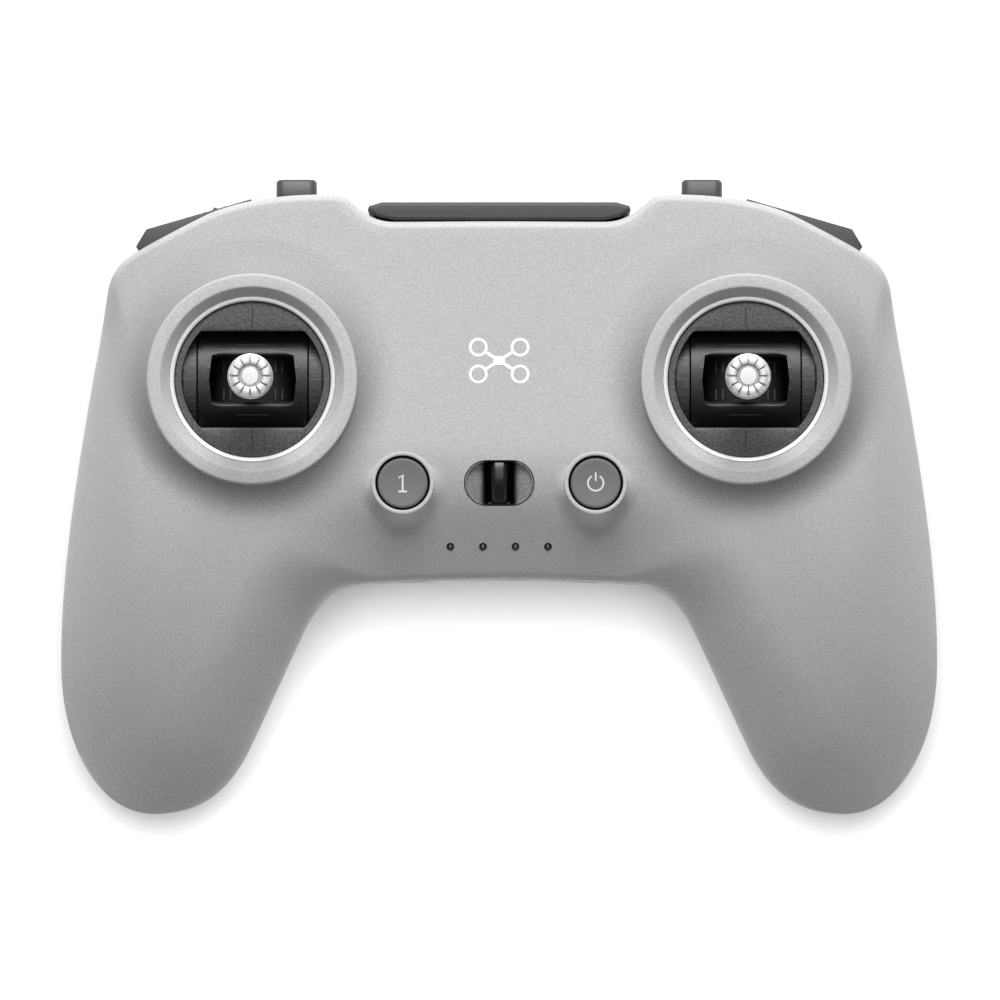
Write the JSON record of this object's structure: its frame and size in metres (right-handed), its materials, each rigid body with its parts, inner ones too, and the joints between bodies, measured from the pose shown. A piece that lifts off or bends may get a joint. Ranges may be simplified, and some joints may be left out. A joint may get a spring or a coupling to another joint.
{
  "type": "radio transmitter controller",
  "caption": "Hand-held radio transmitter with a moulded two-grip housing, sprung two-axis gimbal sticks in raised collars, face buttons, lanyard bar, and toggles and a dial on its top edge.",
  "frame": {"origin": "on the table under the middle of the outline, with the transmitter lying on its back", "axes": "+Z out of the face, +Y towards the antenna and toggles, +X towards the right grip as the user sees the face"},
  "size_m": [0.165, 0.119, 0.062],
  "materials": {
    "shell_plastic": "moulded, fine grain, warm light grey",
    "dark_plastic": "moulded, satin, charcoal",
    "plate_plastic": "moulded, coarse grain, charcoal",
    "black_plastic": "moulded acetal, satin black",
    "button_plastic": "moulded, satin, mid grey with a printed symbol",
    "bright_aluminium": "turned and bead blasted",
    "steel": "plated",
    "circuit_board": "glass-epoxy board with solder mask",
    "lamp_plastic": "smoked clear, unlit",
    "cell_sleeve": "shrink sleeve over a steel can"
  },
  "bodies": {
    "housing": {"front_shell": "shell_plastic", "rear_shell": "shell_plastic", "antenna_cover": "dark_plastic", "left_shoulder_panel": "dark_plastic", "right_shoulder_panel": "dark_plastic", "left_gimbal_plate": "plate_plastic", "right_gimbal_plate": "plate_plastic", "left_gimbal_frame": "black_plastic", "right_gimbal_frame": "black_plastic", "lanyard_dish": "black_plastic", "lanyard_bar": "black_plastic", "mode_toggle_body": "black_plastic", "aux_toggle_body": "black_plastic", "dial_encoder": "black_plastic", "buzzer": "black_plastic", "battery_cradle": "black_plastic", "left_gimbal_trim_ring": "bright_aluminium", "right_gimbal_trim_ring": "bright_aluminium", "function_switch": "steel", "power_switch": "steel", "rf_shield": "steel", "usb_port": "steel", "screw_left_top": "steel", "screw_left_waist": "steel", "screw_left_grip": "steel", "screw_right_top": "steel", "screw_right_waist": "steel", "screw_right_grip": "steel", "main_board": "circuit_board", "front_board": "circuit_board", "antenna_board": "circuit_board", "left_gimbal_sensor": "circuit_board", "right_gimbal_sensor": "circuit_board", "left_shoulder_board": "circuit_board", "right_shoulder_board": "circuit_board", "light_guide": "lamp_plastic", "battery_cell": "cell_sleeve"},
    "left_drum": {"left_gimbal_drum": "black_plastic", "left_stick_pin": "steel"},
    "right_drum": {"right_gimbal_drum": "black_plastic", "right_stick_pin": "steel"},
    "left_stick": {"left_stick_cradle": "black_plastic", "left_stick_shaft": "steel", "left_stick_knob": "bright_aluminium"},
    "right_stick": {"right_stick_cradle": "black_plastic", "right_stick_shaft": "steel", "right_stick_knob": "bright_aluminium"},
    "function_button": {"function_button": "button_plastic"},
    "power_button": {"power_button": "button_plastic"},
    "mode_toggle": {"mode_toggle_lever": "dark_plastic"},
    "aux_toggle": {"aux_toggle_lever": "dark_plastic"},
    "dial": {"dial_wheel": "dark_plastic", "dial_shaft": "steel"},
    "pause_key": {"pause_key": "button_plastic"},
    "start_stop_key": {"start_stop_key": "button_plastic"},
    "shutter_key": {"shutter_key": "button_plastic"}
  },
  "joints": [
    {"name": "left_gimbal_pitch", "type": "hinge", "parent": "housing", "child": "left_drum", "pos_m": [-0.046, 0.0217, 0.031], "axis": [1, 0, 0], "range_deg": [-27, 27], "stiffness_Nm_per_rad": 0.03},
    {"name": "left_gimbal_roll", "type": "hinge", "parent": "left_drum", "child": "left_stick", "pos_m": [-0.046, 0.0217, 0.031], "axis": [0, 1, 0], "range_deg": [-27, 27], "stiffness_Nm_per_rad": 0.03},
    {"name": "right_gimbal_pitch", "type": "hinge", "parent": "housing", "child": "right_drum", "pos_m": [0.046, 0.0217, 0.031], "axis": [1, 0, 0], "range_deg": [-27, 27], "stiffness_Nm_per_rad": 0.03},
    {"name": "right_gimbal_roll", "type": "hinge", "parent": "right_drum", "child": "right_stick", "pos_m": [0.046, 0.0217, 0.031], "axis": [0, 1, 0], "range_deg": [-27, 27], "stiffness_Nm_per_rad": 0.03},
    {"name": "function_button_press", "type": "slide", "parent": "housing", "child": "function_button", "axis": [0, 0, -1], "range_m": [0, 0.0008], "stiffness_N_per_m": 600},
    {"name": "power_button_press", "type": "slide", "parent": "housing", "child": "power_button", "axis": [0, 0, -1], "range_m": [0, 0.0008], "stiffness_N_per_m": 600},
    {"name": "mode_toggle_tilt", "type": "hinge", "parent": "housing", "child": "mode_toggle", "pos_m": [-0.038, 0.05, 0.03], "axis": [1, 0, 0], "range_deg": [-14, 14]},
    {"name": "aux_toggle_tilt", "type": "hinge", "parent": "housing", "child": "aux_toggle", "pos_m": [0.038, 0.05, 0.03], "axis": [1, 0, 0], "range_deg": [-14, 14]},
    {"name": "dial_turn", "type": "hinge", "parent": "housing", "child": "dial", "pos_m": [-0.05153, 0.04794, 0.029], "axis": [0, 0, 1], "range_deg": [-30, 30], "stiffness_Nm_per_rad": 0.008},
    {"name": "pause_key_press", "type": "slide", "parent": "housing", "child": "pause_key", "axis": [0.2773, -0.9608, 0], "range_m": [0, 0.0008], "stiffness_N_per_m": 500},
    {"name": "start_stop_key_press", "type": "slide", "parent": "housing", "child": "start_stop_key", "axis": [-0.2773, -0.9608, 0], "range_m": [0, 0.0008], "stiffness_N_per_m": 500},
    {"name": "shutter_key_press", "type": "slide", "parent": "housing", "child": "shutter_key", "axis": [-0.2773, -0.9608, 0], "range_m": [0, 0.0008], "stiffness_N_per_m": 500}
  ]
}
